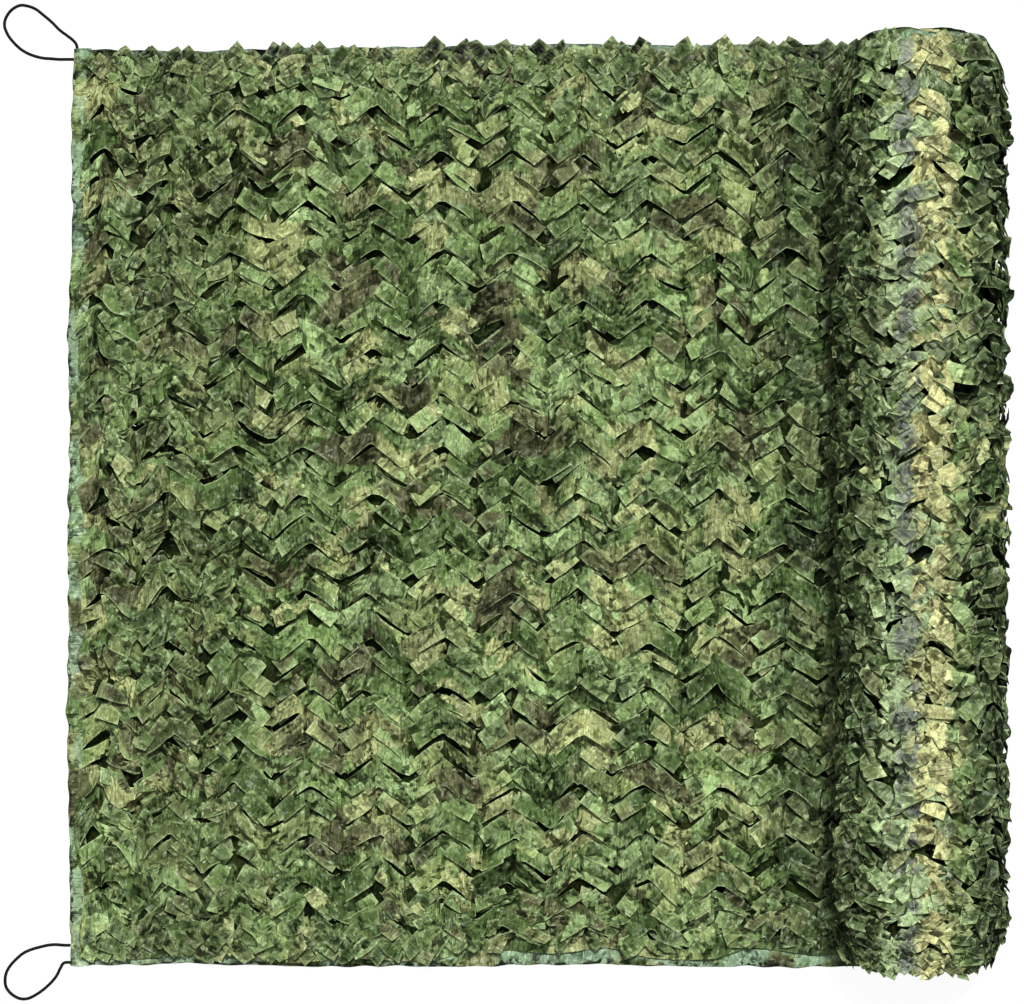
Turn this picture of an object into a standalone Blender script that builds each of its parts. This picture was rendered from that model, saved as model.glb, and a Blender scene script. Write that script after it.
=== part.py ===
"""Camouflage netting, 1.5 m wide: laid flat at one end and wound into a roll at the other.

It is one long panel of printed cloth, cut through with rows of staggered zigzag slits, so
that it opens into leaves. A tape of plain cloth is folded over the panel's edges, and a
cord loop is sewn into each of the two laid corners.

The row frame is in metres, with +Z up. The origin is on the floor under the middle of the
netting. +X runs along the net, from the laid end to the roll, and +Y across it. Seen along
+Y, the net comes in along the floor from the left, passes under the roll and winds up its
right side and over its top, so the roll shows the back of the cloth.

Columns of points stand a quarter of a zigzag apart. Counted from a trough, quarters 0, 4, 8
are troughs, 2, 6, 10 are peaks, and the odd quarters between them are where slits end.
"""

import math
import random

import bmesh
import bpy

# The panel.
NET_LENGTH = 1.518  # along X, from the laid end to the far side of the roll
NET_WIDTH = 1.500  # along Y, over the side tapes
CLOTH = 0.003  # the cloth's thickness

# The slits.
SLIT_LINES = 29  # even ones are cut round their troughs, and odd ones round their peaks
CELL_HEIGHT = 0.0980  # along Y, from a line to the next one of its kind
RIBBON_HEIGHT = 0.0370  # from a peak-cut line up to the trough-cut one over it
PANEL_PERIODS = 9.5  # zigzags along the laid panel
ZIGZAG_HALF_HEIGHT = 0.016
SLIT_OPENING = 0.013  # how far the widest slit gapes
LEAF_LIFT = 0.012  # how high the highest lip stands above a slit
LEAST_SHARE = 0.55  # the smallest slit's share of that opening and lift
LEAF_SEED = 11
ROW_WANDER = 0.003  # how far a line strays along Y
WANDER_LENGTH = 0.70  # along X, from one stray to the next
WANDER_LINES = 9.0  # lines from one stray to the next

# The tape that is folded over the panel's edges.
TAPE_WIDTH = 0.022
TAPE_THICKNESS = 0.0012
TAPE_FOLD = 0.0022  # its thickness where it goes round the edge
TAPE_STEP = 0.045  # the tape's length between its sections
GAP = 0.0003  # left between pieces that touch
EDGE_INSET = 0.0045  # from the tape's outer face to the panel's edge inside it
MOUTH_INSET = 0.0235  # to where the panel has left the tape, and starts down to the floor
MARGIN = 0.030  # to where it lies on the floor
SLIT_INSET = 0.044  # from the laid end to the first column of slits

# The roll.
ROLL_RADIUS_X = 0.131
ROLL_RADIUS_Z = 0.125
ROLL_SAG = 0.008  # how far the roll's own weight flattens its underside
ROLL_WIDTH = 1.510
ROLL_PERIODS = 6  # zigzags round the roll
ROLL_LIFT = 0.014  # how far the highest lip stands out from it
LAYER = 0.018  # how much one turn of the leafy cloth adds to the radius
TURN_CLEARANCE = 0.008  # from the floor to the turn that lies over the panel
BARE_QUARTERS = 2  # quarters at each side of the roll's lowest line that are pressed flat
RIM_ROUND = 0.016  # how far a roll end's rim is rounded off along Y
RIM_TAPER = 0.010  # and across the radius
END_TURNS = 5  # whole turns that show at the roll's ends, outside the core
TURN_RELIEF = 0.012  # how far each turn's edge stands out there

# The cord loops.
CORD_DIAMETER = 0.005
CORD_STEP = 0.010  # the cord's length between its points
CURVE_STEPS = 20  # places read from the curve between two points of a route

LAID_END_X = -NET_LENGTH / 2
ROLL_X = NET_LENGTH / 2 - ROLL_RADIUS_X - ROLL_LIFT
ROLL_Z = ROLL_RADIUS_Z - ROLL_SAG
FIRST_SLIT_X = LAID_END_X + SLIT_INSET
LAST_SLIT_X = ROLL_X - 0.050  # the panel under the roll is pressed flat
ZIGZAG_PITCH = (LAST_SLIT_X - FIRST_SLIT_X) / PANEL_PERIODS
FIRST_QUARTER = -1
LAST_QUARTER = FIRST_QUARTER + round(4 * PANEL_PERIODS)
ROLL_QUARTERS = 4 * ROLL_PERIODS
ZIGZAG = (-1, 0, 1, 0)  # a line's height at each quarter, from a trough
HEIGHT_IN_TAPE = TAPE_THICKNESS + GAP + CLOTH  # the panel's top, inside the tape
TAPE_HEIGHT = HEIGHT_IN_TAPE + GAP + TAPE_THICKNESS

# How the laid end wanders: a row for each bend, with a straight run between, in metres.
#          along Y, out along -X
LAID_END_BENDS = (
    (-0.750, -0.005),
    (-0.560, -0.003),
    (-0.330, 0.001),
    (-0.200, -0.002),
    (-0.040, 0.000),
    (0.120, -0.004),
    (0.280, 0.000),
    (0.450, -0.008),
    (0.620, -0.006),
    (0.750, -0.011),
)

# How the side edges wander, in the same way.
#          along X, near edge out, far edge out
SIDE_BENDS = (
    (-0.759, 0.000, -0.004),
    (-0.560, -0.003, -0.008),
    (-0.400, 0.001, -0.003),
    (-0.150, 0.002, 0.000),
    (0.050, -0.002, 0.004),
    (0.250, 0.001, 0.001),
    (0.430, 0.003, 0.004),
    (0.630, 0.000, 0.000),
)

# How the roll's thickness varies: a row for each place, in metres.
#          along Y, what its radius gains
ROLL_BULGES = (
    (-0.760, -0.004),
    (-0.600, 0.003),
    (-0.480, 0.001),
    (-0.300, -0.003),
    (-0.050, 0.004),
    (0.250, 0.002),
    (0.520, -0.004),
    (0.760, -0.006),
)

# The loops' routes over the floor, in metres from the outer corner of the tapes. Each one
# leaves the tape square to its face, and comes back to it in the same way.
#          along X, along Y
FAR_LOOP = (
    (0.005, 0.000),
    (0.005, 0.010),
    (-0.002, 0.016),
    (-0.012, 0.022),
    (-0.024, 0.031),
    (-0.037, 0.044),
    (-0.050, 0.055),
    (-0.063, 0.065),
    (-0.076, 0.070),
    (-0.089, 0.071),
    (-0.102, 0.064),
    (-0.111, 0.052),
    (-0.114, 0.039),
    (-0.110, 0.026),
    (-0.102, 0.014),
    (-0.089, 0.001),
    (-0.076, -0.007),
    (-0.063, -0.012),
    (-0.050, -0.015),
    (-0.037, -0.016),
    (-0.024, -0.017),
    (-0.010, -0.017),
    (0.000, -0.017),
)
NEAR_LOOP = (
    (0.000, 0.033),
    (-0.010, 0.033),
    (-0.024, 0.034),
    (-0.037, 0.033),
    (-0.050, 0.030),
    (-0.064, 0.026),
    (-0.077, 0.020),
    (-0.089, 0.010),
    (-0.099, -0.001),
    (-0.105, -0.012),
    (-0.107, -0.024),
    (-0.105, -0.036),
    (-0.096, -0.047),
    (-0.083, -0.054),
    (-0.070, -0.054),
    (-0.057, -0.048),
    (-0.044, -0.039),
    (-0.032, -0.028),
    (-0.023, -0.017),
    (-0.017, -0.005),
    (-0.011, 0.004),
    (0.000, 0.005),
)

# The finish of each kind of piece: its colour, and how rough it is.
FINISHES = {
    "camo_face": ((0.10, 0.15, 0.06, 1.0), 0.85),
    "camo_back": ((0.22, 0.25, 0.11, 1.0), 0.75),
    "edge_tape": ((0.12, 0.19, 0.11, 1.0), 0.80),
    "loop_cord": ((0.012, 0.014, 0.012, 1.0), 0.70),
}


def clear_scene():
    for obj in list(bpy.data.objects):
        bpy.data.objects.remove(obj, do_unlink=True)


def material(kind):
    made = bpy.data.materials.get(kind)
    if made is None:
        colour, roughness = FINISHES[kind]
        made = bpy.data.materials.new(kind)
        made.use_nodes = True
        shader = made.node_tree.nodes["Principled BSDF"]
        shader.inputs["Base Color"].default_value = colour
        shader.inputs["Roughness"].default_value = roughness
        shader.inputs["Metallic"].default_value = 0.0
    return made


def add_object(name, data, kind):
    """A named object in the scene, in the finish of its kind."""
    data.materials.append(material(kind))
    obj = bpy.data.objects.new(name, data)
    bpy.context.scene.collection.objects.link(obj)
    return obj


def add_solid(name, points, faces, kind):
    """A named object of one closed mesh, with its faces turned outwards."""
    mesh = bpy.data.meshes.new(name)
    mesh.from_pydata(points, [], faces)
    shell = bmesh.new()
    shell.from_mesh(mesh)
    bmesh.ops.recalc_face_normals(shell, faces=shell.faces)
    shell.to_mesh(mesh)
    shell.free()
    return add_object(name, mesh, kind)


def between(rows, at, column=1):
    """The value in a table's column at a place along its first column, on straight runs."""
    if at <= rows[0][0]:
        return rows[0][column]
    for low, high in zip(rows, rows[1:]):
        if at <= high[0]:
            share = (at - low[0]) / (high[0] - low[0])
            return low[column] + share * (high[column] - low[column])
    return rows[-1][column]


def end_face_x(y):
    """Where the end tape's outer face is."""
    return LAID_END_X - between(LAID_END_BENDS, y)


def side_face_y(side, x):
    """Where a side tape's outer face is: side -1 is near, and side 1 is far."""
    return side * (NET_WIDTH / 2 + between(SIDE_BENDS, x, 1 if side < 0 else 2))


class SlitCloth:
    """The points of a slit cloth, by row and column.

    A row has a lower and an upper lip at each column. They are one point where it isn't cut.
    """

    def __init__(self):
        self.points = []
        self.lower = {}
        self.upper = {}

    def add(self, row, column, lower, upper=None):
        self.lower[row, column] = self.upper[row, column] = len(self.points)
        self.points.append(lower)
        if upper is not None:
            self.upper[row, column] = len(self.points)
            self.points.append(upper)

    def strips(self, rows, columns):
        """The triangles between each row's upper lip and the next row's lower lip.

        They share their long sides at the slits' ends, so that each lifted lip bends up as a
        kite-shaped leaf.
        """
        triangles = []
        for low, high in zip(rows, rows[1:]):
            for left, right in zip(columns, columns[1:]):
                a = self.upper[low, left]
                b = self.upper[low, right]
                c = self.lower[high, right]
                d = self.lower[high, left]
                triangles += [(a, b, c), (a, c, d)] if left % 2 else [(a, b, d), (b, c, d)]
        return triangles

    def steps(self, rows, columns):
        """The triangles that close each slit from its lower lip up to its upper one."""
        triangles = []
        for row in rows:
            for left, middle, right in zip(columns, columns[1:], columns[2:]):
                low = self.lower[row, middle]
                high = self.upper[row, middle]
                if low != high:
                    triangles.append((self.lower[row, left], low, high))
                    triangles.append((low, self.lower[row, right], high))
        return triangles


def line_y(line, quarter):
    """How far along Y a slit line is at a quarter, before it strays."""
    middle = (SLIT_LINES - 1) / 2 * CELL_HEIGHT / 2
    cell, peak_cut = divmod(line, 2)
    up = cell * CELL_HEIGHT + peak_cut * (CELL_HEIGHT - RIBBON_HEIGHT)
    return up - middle + ZIGZAG_HALF_HEIGHT * ZIGZAG[quarter % 4]


def is_open(line, quarter):
    """Whether a line is cut at a quarter: slits are centred on every fourth one."""
    return quarter % 4 == (2 if line % 2 else 0)


def panel_x(quarter):
    """How far along X a column of the slit part is."""
    return FIRST_SLIT_X + (quarter - FIRST_QUARTER) * ZIGZAG_PITCH / 4


def thicken(top, triangles, depth):
    """The points and faces of a closed sheet, from its top: one shape lower, and the walls."""
    count = len(top)
    under = [(x, y, z - depth) for x, y, z in top]
    faces = list(triangles)
    faces += [tuple(i + count for i in reversed(face)) for face in triangles]
    sides = {edge for a, b, c in triangles for edge in ((a, b), (b, c), (c, a))}
    faces += [(b, a, a + count, b + count) for a, b in sides if (b, a) not in sides]
    return list(top) + under, faces


def panel_columns():
    """The panel's columns, as (quarter, X, whether X is an inset from the end's face, height)."""
    columns = [
        (FIRST_QUARTER - 4, EDGE_INSET, True, HEIGHT_IN_TAPE),
        (FIRST_QUARTER - 3, MOUTH_INSET, True, HEIGHT_IN_TAPE),
        (FIRST_QUARTER - 2, MARGIN, True, CLOTH),
    ]
    for quarter in range(FIRST_QUARTER, LAST_QUARTER + 1):
        columns.append((quarter, panel_x(quarter), False, CLOTH))
    columns.append((LAST_QUARTER + 2, ROLL_X - GAP, False, CLOTH))
    return columns


def build_panel():
    """The laid part of the panel, cut through at its slits, whose upper lips are lifted."""
    chance = random.Random(LEAF_SEED)
    cloth = SlitCloth()
    columns = panel_columns()
    for quarter, x, is_inset, laid in columns:
        plain = not FIRST_QUARTER <= quarter <= LAST_QUARTER
        along = LAID_END_X + x if is_inset else x

        def place(y, z):
            return (end_face_x(y) + x if is_inset else x, y, z)

        for side, name in ((-1, "near"), (1, "far")):
            face_y = side_face_y(side, along)
            cloth.add(f"{name} edge", quarter, place(face_y - side * EDGE_INSET, HEIGHT_IN_TAPE))
            cloth.add(f"{name} mouth", quarter, place(face_y - side * MOUTH_INSET, HEIGHT_IN_TAPE))
            cloth.add(f"{name} margin", quarter, place(face_y - side * MARGIN, laid))
        for line in range(SLIT_LINES):
            stray = math.sin(2 * math.pi * (along / WANDER_LENGTH + line / WANDER_LINES))
            y = line_y(line, 1 if plain else quarter) + ROW_WANDER * stray
            if plain or not is_open(line, quarter):
                cloth.add(line, quarter, place(y, laid))
                continue
            half = SLIT_OPENING / 2 * chance.uniform(LEAST_SHARE, 1.0)
            lift = LEAF_LIFT * chance.uniform(LEAST_SHARE, 1.0)
            cloth.add(line, quarter, place(y - half, laid), place(y + half, laid + lift))
    near = ["near edge", "near mouth", "near margin"]
    far = ["far margin", "far mouth", "far edge"]
    strips = cloth.strips([*near, *range(SLIT_LINES), *far], [column[0] for column in columns])
    points, faces = thicken(cloth.points, strips, CLOTH)
    return add_solid("net_panel", points, faces, "camo_face")


def roll_point(quarter, y, inward=0.0):
    """A point of the outer turn, or of a place `inward` of it.

    The turn starts on the floor, goes once round, and ends over the panel.
    """
    turn = quarter / ROLL_QUARTERS
    angle = 2 * math.pi * turn - math.pi / 2
    inward += LAYER * turn - between(ROLL_BULGES, y)
    x = ROLL_X + (ROLL_RADIUS_X - inward) * math.cos(angle)
    z = ROLL_Z + (ROLL_RADIUS_Z - inward) * math.sin(angle)
    return (x, y, max(z, 0.0 if turn < 0.5 else TURN_CLEARANCE))


def add_roll_ring(cloth, row, y, inward=0.0, step_y=None):
    """An uncut ring round the roll, with one more point halfway up the step where it closes."""
    for quarter in range(ROLL_QUARTERS + 1):
        cloth.add(row, quarter, roll_point(quarter, y, inward))
    foot, head = roll_point(0, y, inward), roll_point(ROLL_QUARTERS, y, inward)
    step = (ROLL_X, y if step_y is None else step_y, (foot[2] + head[2]) / 2)
    cloth.add(row, ROLL_QUARTERS + 1, step)


def add_roll_line(cloth, line, chance):
    """A slit line's ring round the roll, whose upper lips stand out from its lower ones."""
    add_roll_ring(cloth, line, line_y(line, 1))
    for quarter in range(1, ROLL_QUARTERS):
        y = line_y(line, quarter)
        pressed = min(quarter, ROLL_QUARTERS - quarter) < BARE_QUARTERS
        if pressed or not is_open(line, quarter):
            cloth.points[cloth.lower[line, quarter]] = roll_point(quarter, y)
            continue
        half = SLIT_OPENING / 2
        lift = ROLL_LIFT * chance.uniform(LEAST_SHARE, 1.0)
        cloth.points[cloth.lower[line, quarter]] = roll_point(quarter, y - half)
        cloth.upper[line, quarter] = len(cloth.points)
        cloth.points.append(roll_point(quarter, y + half, -lift))


def roll_end(cloth, rim, side):
    """Closes an end of the roll with one spiral, whose turns' edges stand out as a ridge.

    Even rows are the ridge and odd ones the groove beside it, each half a turn's thickness
    further in. A row's last point is the first one of the row two further in.
    """
    last_row = 2 * END_TURNS
    index = {(0, quarter): cloth.lower[rim, quarter] for quarter in range(ROLL_QUARTERS)}
    index[1, 0] = cloth.lower[rim, ROLL_QUARTERS + 1]
    index[2, 0] = cloth.lower[rim, ROLL_QUARTERS]

    def place(row, quarter):
        if quarter == ROLL_QUARTERS:
            row, quarter = row + 2, 0
        if (row, quarter) not in index:
            index[row, quarter] = len(cloth.points)
            y = side * (ROLL_WIDTH / 2 - TURN_RELIEF * (row % 2))
            x, _, z = roll_point(quarter, side * ROLL_WIDTH / 2, RIM_TAPER + LAYER * row / 2)
            cloth.points.append((x, y, z))
        return index[row, quarter]

    core = index[last_row + 2, 0] = len(cloth.points)
    cloth.points.append((ROLL_X, side * (ROLL_WIDTH / 2 - TURN_RELIEF), ROLL_Z))
    faces = []
    for quarter in range(ROLL_QUARTERS):
        for row in range(last_row):
            outer = (place(row, quarter), place(row, quarter + 1))
            inner = (place(row + 1, quarter + 1), place(row + 1, quarter))
            faces.append(outer + inner)
        if quarter < ROLL_QUARTERS - 1:
            faces.append((place(last_row, quarter), place(last_row, quarter + 1), core))
    faces.append((core, place(last_row + 1, 0), place(last_row, 0)))
    return faces


def build_roll():
    """The wound part of the netting, as one solid of its wound form."""
    chance = random.Random(LEAF_SEED)
    cloth = SlitCloth()
    rims = {}
    for side in (-1, 1):
        rims[side] = (f"rim {side}", f"shoulder {side}")
        rim_y = side * ROLL_WIDTH / 2
        add_roll_ring(cloth, rims[side][0], rim_y, RIM_TAPER, rim_y - side * TURN_RELIEF)
        add_roll_ring(cloth, rims[side][1], rim_y - side * RIM_ROUND)
    for line in range(SLIT_LINES):
        add_roll_line(cloth, line, chance)
    rows = [*rims[-1], *range(SLIT_LINES), *reversed(rims[1])]
    round_it = [*range(ROLL_QUARTERS + 2), 0]
    faces = cloth.strips(rows, round_it)
    faces += cloth.steps(range(SLIT_LINES), range(ROLL_QUARTERS + 1))
    faces += roll_end(cloth, rims[-1][0], -1)
    faces += roll_end(cloth, rims[1][0], 1)
    return add_solid("net_roll", cloth.points, faces, "camo_back")


def tape_section():
    """The folded tape's section, as (inward from its outer face, up) pairs."""
    slot_top = HEIGHT_IN_TAPE + GAP
    return (
        (0.0, 0.0),
        (TAPE_WIDTH, 0.0),
        (TAPE_WIDTH, TAPE_THICKNESS),
        (TAPE_FOLD, TAPE_THICKNESS),
        (TAPE_FOLD, slot_top),
        (TAPE_WIDTH, slot_top),
        (TAPE_WIDTH, TAPE_HEIGHT),
        (0.0, TAPE_HEIGHT),
    )


def build_tape(name, route, inward):
    """A tape folded over an edge: `route` is its outer face, and `inward` points to the net."""
    section = tape_section()
    size = len(section)
    points = [
        (x + inward[0] * deep, y + inward[1] * deep, up)
        for x, y in route
        for deep, up in section
    ]
    faces = [tuple(range(size)), tuple(range(len(points) - size, len(points)))]
    for start in range(0, len(points) - size, size):
        for i in range(size):
            j = (i + 1) % size
            faces.append((start + i, start + j, start + size + j, start + size + i))
    return add_solid(name, points, faces, "edge_tape")


def evenly(start, end, step):
    """Places from start to end, about a step apart."""
    count = max(1, round(abs(end - start) / step))
    return [start + (end - start) * i / count for i in range(count + 1)]


def build_tapes():
    """The tape over the laid end, and the two over the sides, which stop short of it."""
    corners = [side_face_y(side, LAID_END_X) for side in (-1, 1)]
    end_route = [(end_face_x(y), y) for y in evenly(*corners, TAPE_STEP)]
    tapes = [build_tape("end_tape", end_route, (1, 0))]
    for side, name in ((-1, "near_tape"), (1, "far_tape")):
        corner_y = side_face_y(side, LAID_END_X)
        inner = max(end_face_x(corner_y), end_face_x(corner_y - side * TAPE_WIDTH))
        start = inner + TAPE_WIDTH + GAP
        route = [
            (x, side_face_y(side, x)) for x in evenly(start, ROLL_X - GAP, TAPE_STEP)
        ]
        tapes.append(build_tape(name, route, (0, -side)))
    return tapes


def smooth_route(route, step):
    """Points a step apart on a smooth curve through the route's own points."""
    padded = [route[0], *route, route[-1]]
    fine = []
    for before, start, end, after in zip(padded, padded[1:], padded[2:], padded[3:]):
        for i in range(CURVE_STEPS):
            t = i / CURVE_STEPS
            fine.append(
                tuple(
                    0.5
                    * (
                        2 * b
                        + (c - a) * t
                        + (2 * a - 5 * b + 4 * c - d) * t**2
                        + (3 * b - a - 3 * c + d) * t**3
                    )
                    for a, b, c, d in zip(before, start, end, after)
                )
            )
    fine.append(route[-1])
    lengths = [0.0]
    for start, end in zip(fine, fine[1:]):
        lengths.append(lengths[-1] + math.dist(start, end))
    by_length = [(at, *point) for at, point in zip(lengths, fine)]
    return [
        tuple(between(by_length, at, axis) for axis in (1, 2))
        for at in evenly(0.0, lengths[-1], step)
    ]


def build_loop(name, side, route):
    """A cord loop that lies on the floor outside a laid corner."""
    corner_y = side_face_y(side, LAID_END_X)
    curve = bpy.data.curves.new(name, "CURVE")
    curve.dimensions = "3D"
    curve.bevel_depth = CORD_DIAMETER / 2
    curve.bevel_resolution = 2
    curve.use_fill_caps = True
    points = smooth_route(route, CORD_STEP)
    spline = curve.splines.new("POLY")
    spline.points.add(len(points) - 1)
    for point, (along, across) in zip(spline.points, points):
        y = corner_y + across + side * GAP
        x = end_face_x(y) + along - GAP
        point.co = (x, y, CORD_DIAMETER / 2, 1.0)
    return add_object(name, curve, "loop_cord")


def main():
    clear_scene()
    build_panel()
    build_roll()
    build_tapes()
    build_loop("far_loop", 1, FAR_LOOP)
    build_loop("near_loop", -1, NEAR_LOOP)


main()
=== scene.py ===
"""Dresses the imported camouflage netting: die-cut cloth, folded tapes and two cord loops.

Lengths are in metres. Cloth is made in its own flat space first, as (along, across, off):
`along` runs from the laid end towards the roll, `across` from the middle to either side, and
`off` stands off the cloth's mean surface. `lay` then puts cloth on the floor, and `wind` puts
it on the roll. Every random number is seeded.
"""

import math

import bpy
import numpy as np
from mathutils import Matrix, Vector


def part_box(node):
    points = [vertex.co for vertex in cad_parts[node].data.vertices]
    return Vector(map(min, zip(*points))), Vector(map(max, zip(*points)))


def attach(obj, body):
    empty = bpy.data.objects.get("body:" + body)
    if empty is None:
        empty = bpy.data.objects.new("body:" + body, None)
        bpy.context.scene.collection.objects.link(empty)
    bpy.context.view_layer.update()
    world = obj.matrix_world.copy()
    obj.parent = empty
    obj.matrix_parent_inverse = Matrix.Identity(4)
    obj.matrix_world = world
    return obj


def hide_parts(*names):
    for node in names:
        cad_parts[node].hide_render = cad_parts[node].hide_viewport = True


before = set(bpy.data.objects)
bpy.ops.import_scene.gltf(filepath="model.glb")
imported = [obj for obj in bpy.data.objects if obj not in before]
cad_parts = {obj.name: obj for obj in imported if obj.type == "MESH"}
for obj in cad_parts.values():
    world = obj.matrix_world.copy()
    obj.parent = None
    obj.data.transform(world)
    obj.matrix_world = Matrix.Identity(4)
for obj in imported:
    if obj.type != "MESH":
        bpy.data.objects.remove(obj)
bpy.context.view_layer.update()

ROLL_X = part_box("net_panel")[1].x  # where the outer turn leaves the floor

# The netting's plan, as in the part's source.
LAID_END_X = -0.759
LAID_LENGTH = ROLL_X - LAID_END_X
HALF_WIDTH = 0.750
END_INSET = 0.010  # from the laid end to where its cloth starts, inside the tape
LAID_END_BENDS = (  # across, and how far the laid end wanders out there
    (-0.750, -0.005),
    (-0.560, -0.003),
    (-0.330, 0.001),
    (-0.200, -0.002),
    (-0.040, 0.000),
    (0.120, -0.004),
    (0.280, 0.000),
    (0.450, -0.008),
    (0.620, -0.006),
    (0.750, -0.011),
)
SIDE_BENDS = (  # x, and how far the near and the far side wander out there
    (-0.759, 0.000, -0.004),
    (-0.560, -0.003, -0.008),
    (-0.400, 0.001, -0.003),
    (-0.150, 0.002, 0.000),
    (0.050, -0.002, 0.004),
    (0.250, 0.001, 0.001),
    (0.430, 0.003, 0.004),
    (0.630, 0.000, 0.000),
)

# The cord loops: points along X and along Y from the netting's corner. The far one's first
# points bend into the corner, up to 3 mm beside the solid's straight end.
CORD_DIAMETER = 0.005
GAP = 0.0003  # between a loop's ends and the end tape
FAR_LOOP = (
    (0.005, 0.000),
    (0.003, 0.008),
    (-0.003, 0.015),
    (-0.012, 0.022),
    (-0.024, 0.031),
    (-0.037, 0.044),
    (-0.050, 0.055),
    (-0.063, 0.065),
    (-0.076, 0.070),
    (-0.089, 0.071),
    (-0.102, 0.064),
    (-0.111, 0.052),
    (-0.114, 0.039),
    (-0.110, 0.026),
    (-0.102, 0.014),
    (-0.089, 0.001),
    (-0.076, -0.007),
    (-0.063, -0.012),
    (-0.050, -0.015),
    (-0.037, -0.016),
    (-0.024, -0.017),
    (-0.010, -0.017),
    (0.000, -0.017),
)
NEAR_LOOP = (
    (0.000, 0.033),
    (-0.010, 0.033),
    (-0.024, 0.034),
    (-0.037, 0.033),
    (-0.050, 0.030),
    (-0.064, 0.026),
    (-0.077, 0.020),
    (-0.089, 0.010),
    (-0.099, -0.001),
    (-0.105, -0.012),
    (-0.107, -0.024),
    (-0.105, -0.036),
    (-0.096, -0.047),
    (-0.083, -0.054),
    (-0.070, -0.054),
    (-0.057, -0.048),
    (-0.044, -0.039),
    (-0.032, -0.028),
    (-0.023, -0.017),
    (-0.017, -0.005),
    (-0.011, 0.004),
    (0.000, 0.005),
)

# The roll.
ROLL_RADIUS_X = 0.131
ROLL_RADIUS_Z = 0.125
ROLL_RADIUS = (ROLL_RADIUS_X + ROLL_RADIUS_Z) / 2
ROLL_Z = 0.117
LAYER = 0.018  # how much each turn takes off the radius
TURNS = 5.2
ROLL_ROUNDING = 0.015  # how much the roll's radius shrinks over the last 90 mm of its ends
ROLL_SHORT = (0.0, 0.020)  # how far the wound cloth stops short of the roll's far and near end
ROLL_DOMES = (0.038, 0.014)  # and how much further short of them it stops at the flanks
FLANK_LENGTH = 0.30  # along the outer turn, of its right side

# The die-cut pattern: V slits across the zigzag's troughs, and caret slits over its peaks.
PITCH = 0.1115  # along, from slit to slit
CELL = 0.0790  # across, from one line of V slits to the next
RIBBON = 0.0290  # from a line of caret slits up to the line of V slits over it
LINES = 37
ZIGZAG_HALF = 0.0165
LAST_LINE = LINES - 1
SLIT_HALF = 0.40  # half of a slit's length, in pitches
LEAF_LENGTH, LEAF_WIDTH = 0.050, 0.028  # of the loose tongues between the slits
ARM_ANGLE = 0.60  # of the zigzag's arms from the way along, in radians
NEAR_RECESS = (  # x, and how far the cloth draws back there and bares the near tape
    (-0.16, 0.0),
    (-0.07, 0.013),
    (0.12, 0.016),
    (0.17, 0.002),
    (0.30, 0.002),
    (0.35, 0.015),
    (0.52, 0.014),
)
LAID_STAND = 0.026  # how far the leaves stand off the cloth's middle at most, laid
WOUND_STAND = 0.029  # and on the roll
NET_HEIGHT = 0.016  # of the laid net's middle over the floor
PLY_HEIGHT = 0.003  # and of the ply's under it
LOWEST_LAID = 0.0015  # how near to the floor the laid cloth comes
PLY_PRINT, INNER_PRINT = 2.0, 9.0  # how far along the print the hidden cloths are cut

# Layers of leaves: the share of the arms that have one, and how much more where they tangle.
LAID_LAYERS = ((0.8, 0.2), (0.3, 0.6), (0.0, 0.7))
WOUND_LAYERS = (0.9, 0.9, 0.8, 0.6)  # the share on the roll


# ---------------------------------------------------------------- the die-cut cloth


def line_across(line):
    """How far across a line of slits lies. Even lines are V slits, odd ones carets."""
    cell, caret = divmod(line, 2)
    return cell * CELL + caret * (CELL - RIBBON) - LAST_LINE / 2 * CELL / 2


def zigzag(pitches):
    """The lines' height: -1 in troughs, 1 on peaks, with straight arms and short flats."""
    wave = 1 - 4 * np.abs(pitches % 1.0 - 0.5)
    return -np.clip(1.18 * wave, -1, 1)


def swell(a, b, length, seed, waves=7):
    """A smooth random surface from about -1 to 1, with swells about a length across."""
    chance = np.random.default_rng(seed)
    total = np.zeros(np.broadcast(a, b).shape)
    for _ in range(waves):
        turn = chance.uniform(0, 2 * math.pi)
        size = length * chance.uniform(0.7, 1.5)
        phase = chance.uniform(0, 2 * math.pi)
        total += np.sin(2 * math.pi * (a * math.cos(turn) + b * math.sin(turn)) / size + phase)
    return total / math.sqrt(waves)


def creases(across_cells, along_cells, seed):
    """Heights from -1 to 1 of flat three-cornered facets, as in cloth that was folded small."""
    table = np.random.default_rng(seed).uniform(-1, 1, (4, 211, 223))
    i, j = np.floor(across_cells).astype(int), np.floor(along_cells).astype(int)
    f, g = across_cells - i, along_cells - j

    def corner(di, dj):
        return table[0, (i + di) % 211, (j + dj) % 223]

    rising = table[1, i % 211, j % 223] > 0
    g = np.where(rising, g, 1 - g)
    low = np.where(rising, corner(0, 0), corner(0, 1))
    right = np.where(rising, corner(0, 1), corner(0, 0))
    up = np.where(rising, corner(1, 0), corner(1, 1))
    far = np.where(rising, corner(1, 1), corner(1, 0))
    first = low + f * (up - low) + g * (right - low)
    second = far + (1 - f) * (right - far) + (1 - g) * (up - far)
    return np.where(f + g < 1, first, second)


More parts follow.
